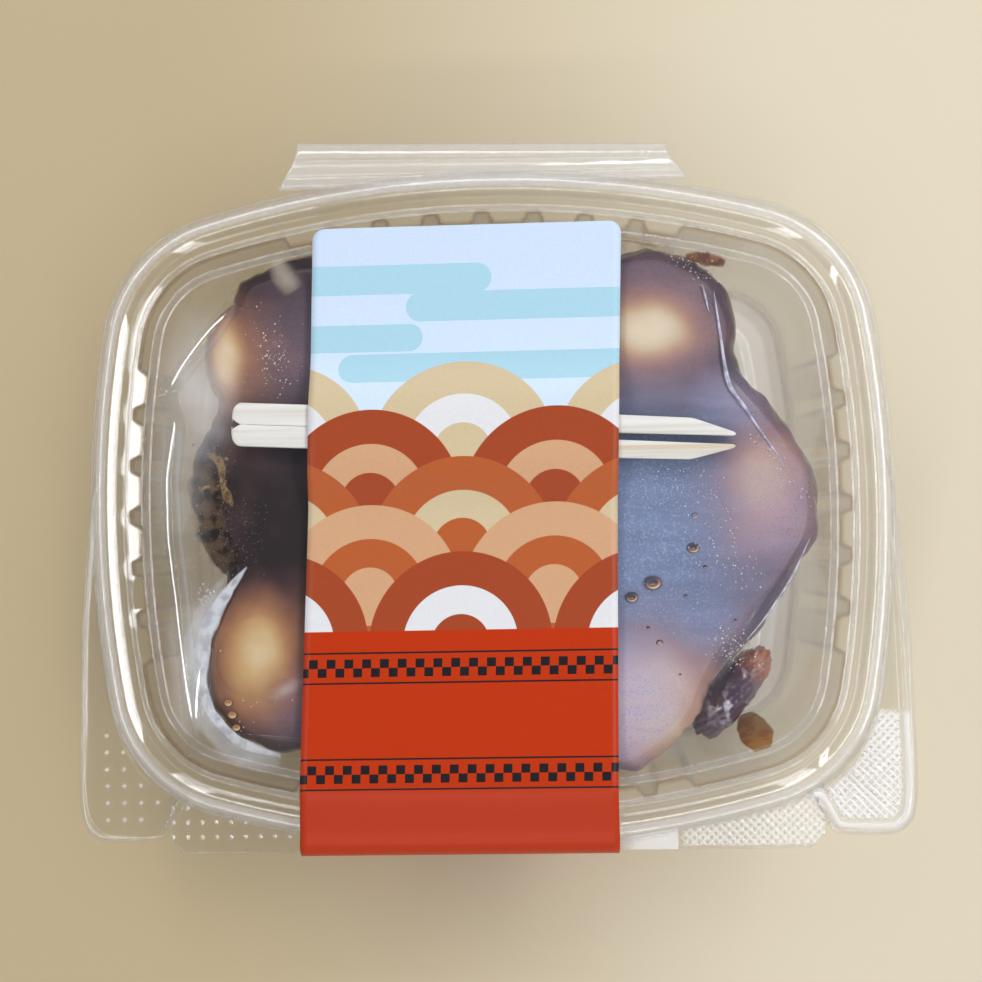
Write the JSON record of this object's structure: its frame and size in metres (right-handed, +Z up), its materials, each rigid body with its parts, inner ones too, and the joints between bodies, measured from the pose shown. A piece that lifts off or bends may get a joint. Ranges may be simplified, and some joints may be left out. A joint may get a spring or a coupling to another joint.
{
  "type": "hinged deli pack of mitarashi dango",
  "caption": "Clear hinged deli pack of rice dumplings in brown soy glaze, shut under a low domed lid, with a small pronged wooden fork held on the lid by a wrap-round paper label.",
  "frame": {"origin": "on the table, under the middle of the box that bounds the shut pack", "axes": "+X to the right along the pack's long side, +Y towards the hinge, +Z up out of the lid"},
  "size_m": [0.1538, 0.1306, 0.0341],
  "materials": {
    "clear_plastic": "clear, glossy, thin formed sheet, faintly grey at the bends",
    "rice_dough": "soft, pale cream to amber, wet with glaze",
    "soy_glaze": "thick translucent brown glaze, very glossy, purple-black where it is deep",
    "bare_wood": "pale, bare, fine straight grain, matt",
    "printed_paper": "smooth coated paper, printed in pale blue, red, orange and cream, soft sheen"
  },
  "bodies": {
    "root": {"container": "clear_plastic", "dumpling_1": "rice_dough", "dumpling_2": "rice_dough", "dumpling_3": "rice_dough", "dumpling_4": "rice_dough", "dumpling_5": "rice_dough", "dumpling_6": "rice_dough", "dumpling_7": "rice_dough", "dumpling_8": "rice_dough", "dumpling_9": "rice_dough", "dumpling_10": "rice_dough", "sauce": "soy_glaze", "sauce_lump": "soy_glaze", "fork": "bare_wood", "label": "printed_paper"}
  },
  "joints": []
}
